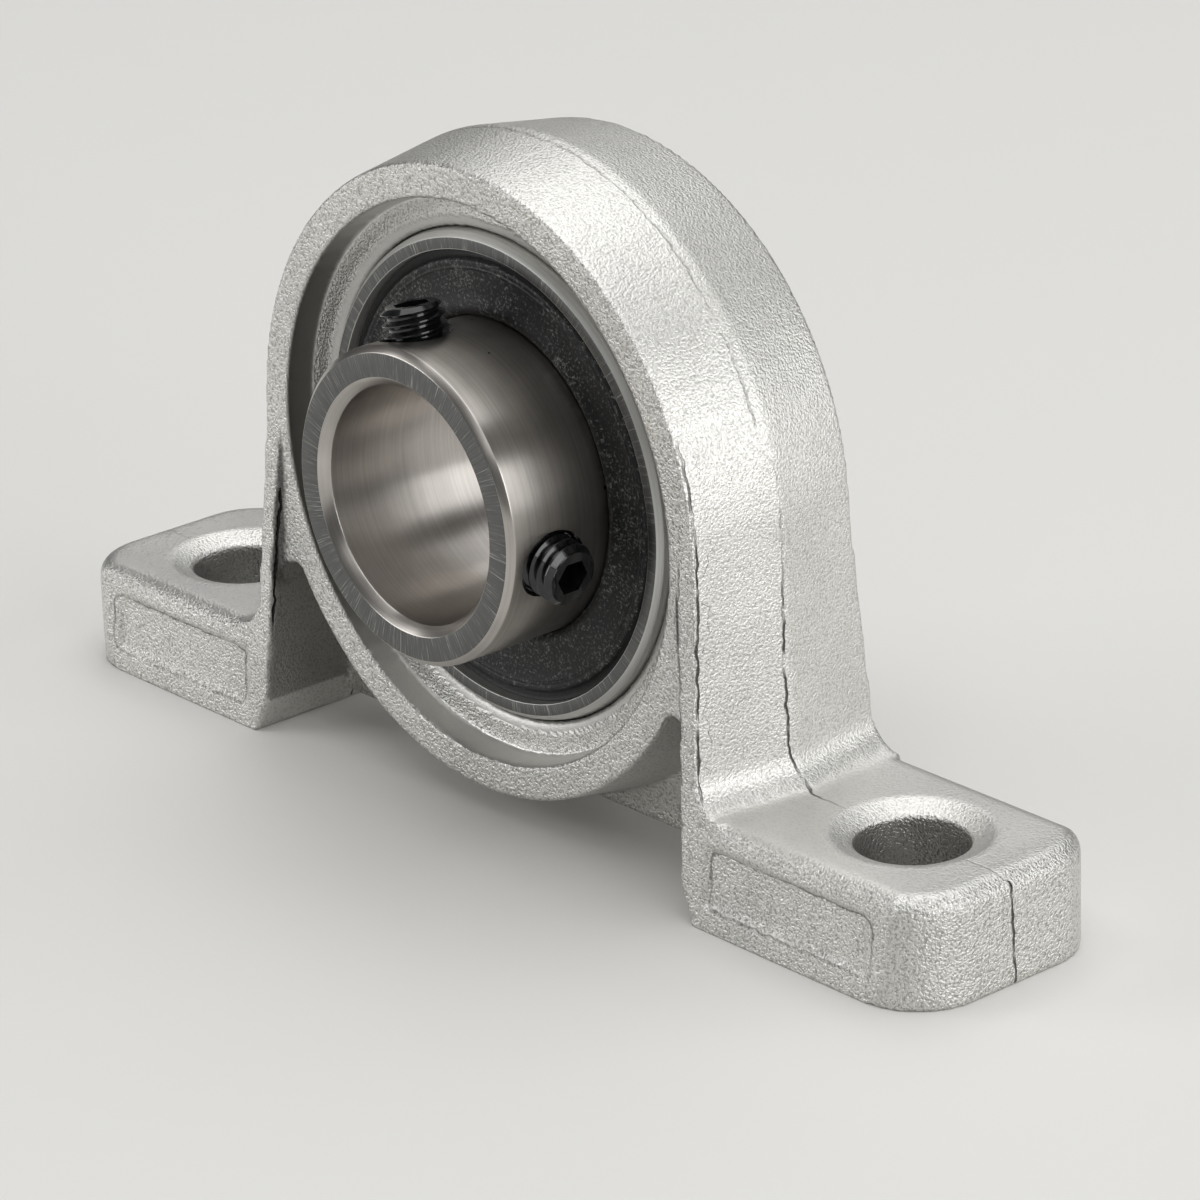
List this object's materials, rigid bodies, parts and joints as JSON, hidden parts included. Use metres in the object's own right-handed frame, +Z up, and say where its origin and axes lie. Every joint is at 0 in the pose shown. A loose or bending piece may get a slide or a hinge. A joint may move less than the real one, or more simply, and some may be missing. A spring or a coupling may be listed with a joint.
{
  "type": "pillow block bearing",
  "caption": "Slim die-cast pillow block with a self-aligning sealed ball bearing insert; its extended inner ring is locked to the shaft by socket set screws.",
  "frame": {"origin": "middle of the base at floor height, halfway between the bolt holes", "axes": "+X along the base, +Y along the shaft away from the set screws, +Z up"},
  "size_m": [0.08, 0.0197, 0.0429],
  "materials": {
    "zinc_cast": "satin",
    "bearing_steel": "satin",
    "ball_steel": "polished",
    "sheet_steel": "satin",
    "seal_rubber": "matte",
    "black_oxide": "satin"
  },
  "bodies": {
    "housing": {"housing": "zinc_cast"},
    "insert": {"outer_ring": "bearing_steel", "front_seal": "seal_rubber", "front_seal_insert": "sheet_steel", "rear_seal": "seal_rubber", "rear_seal_insert": "sheet_steel"},
    "inner_ring": {"inner_ring": "bearing_steel"},
    "cage": {"cage_front": "sheet_steel", "cage_rear": "sheet_steel", "cage_rivets": "sheet_steel"},
    "ball_1": {"ball_1": "ball_steel"},
    "ball_2": {"ball_2": "ball_steel"},
    "ball_3": {"ball_3": "ball_steel"},
    "ball_4": {"ball_4": "ball_steel"},
    "ball_5": {"ball_5": "ball_steel"},
    "ball_6": {"ball_6": "ball_steel"},
    "ball_7": {"ball_7": "ball_steel"},
    "ball_8": {"ball_8": "ball_steel"},
    "ball_9": {"ball_9": "ball_steel"},
    "set_screw_a": {"set_screw_a": "black_oxide"},
    "set_screw_b": {"set_screw_b": "black_oxide"}
  },
  "joints": [
    {"name": "self_align", "type": "hinge", "parent": "housing", "child": "insert", "pos_m": [0, 0, 0.022], "axis": [1, 0, 0], "range_deg": [-3, 3]},
    {"name": "inner_spin", "type": "hinge", "parent": "insert", "child": "inner_ring", "pos_m": [0, 0, 0.022], "axis": [0, 1, 0], "continuous": true},
    {"name": "cage_orbit", "type": "hinge", "parent": "insert", "child": "cage", "pos_m": [0, 0, 0.022], "axis": [0, 1, 0], "continuous": true},
    {"name": "ball_1_spin", "type": "hinge", "parent": "cage", "child": "ball_1", "pos_m": [0.01175, 0, 0.022], "axis": [0, 1, 0], "continuous": true},
    {"name": "ball_2_spin", "type": "hinge", "parent": "cage", "child": "ball_2", "pos_m": [0.009, 0, 0.01445], "axis": [0, 1, 0], "continuous": true},
    {"name": "ball_3_spin", "type": "hinge", "parent": "cage", "child": "ball_3", "pos_m": [0.00204, 0, 0.01043], "axis": [0, 1, 0], "continuous": true},
    {"name": "ball_4_spin", "type": "hinge", "parent": "cage", "child": "ball_4", "pos_m": [-0.00588, 0, 0.01182], "axis": [0, 1, 0], "continuous": true},
    {"name": "ball_5_spin", "type": "hinge", "parent": "cage", "child": "ball_5", "pos_m": [-0.01104, 0, 0.01798], "axis": [0, 1, 0], "continuous": true},
    {"name": "ball_6_spin", "type": "hinge", "parent": "cage", "child": "ball_6", "pos_m": [-0.01104, 0, 0.02602], "axis": [0, 1, 0], "continuous": true},
    {"name": "ball_7_spin", "type": "hinge", "parent": "cage", "child": "ball_7", "pos_m": [-0.00588, 0, 0.03218], "axis": [0, 1, 0], "continuous": true},
    {"name": "ball_8_spin", "type": "hinge", "parent": "cage", "child": "ball_8", "pos_m": [0.00204, 0, 0.03357], "axis": [0, 1, 0], "continuous": true},
    {"name": "ball_9_spin", "type": "hinge", "parent": "cage", "child": "ball_9", "pos_m": [0.009, 0, 0.02955], "axis": [0, 1, 0], "continuous": true},
    {"name": "set_screw_a_feed", "type": "slide", "parent": "inner_ring", "child": "set_screw_a", "axis": [0.9816, 0, -0.1908], "range_m": [-0.0003, 0.001]},
    {"name": "set_screw_b_feed", "type": "slide", "parent": "inner_ring", "child": "set_screw_b", "axis": [-0.2079, 0, 0.9781], "range_m": [-0.0003, 0.001]}
  ],
  "couplings": [
    {"joint": "cage_orbit", "follows": "inner_spin", "ratio": 0.39868},
    {"joint": "ball_1_spin", "follows": "inner_spin", "ratio": -2.3661},
    {"joint": "ball_2_spin", "follows": "inner_spin", "ratio": -2.3661},
    {"joint": "ball_3_spin", "follows": "inner_spin", "ratio": -2.3661},
    {"joint": "ball_4_spin", "follows": "inner_spin", "ratio": -2.3661},
    {"joint": "ball_5_spin", "follows": "inner_spin", "ratio": -2.3661},
    {"joint": "ball_6_spin", "follows": "inner_spin", "ratio": -2.3661},
    {"joint": "ball_7_spin", "follows": "inner_spin", "ratio": -2.3661},
    {"joint": "ball_8_spin", "follows": "inner_spin", "ratio": -2.3661},
    {"joint": "ball_9_spin", "follows": "inner_spin", "ratio": -2.3661}
  ]
}
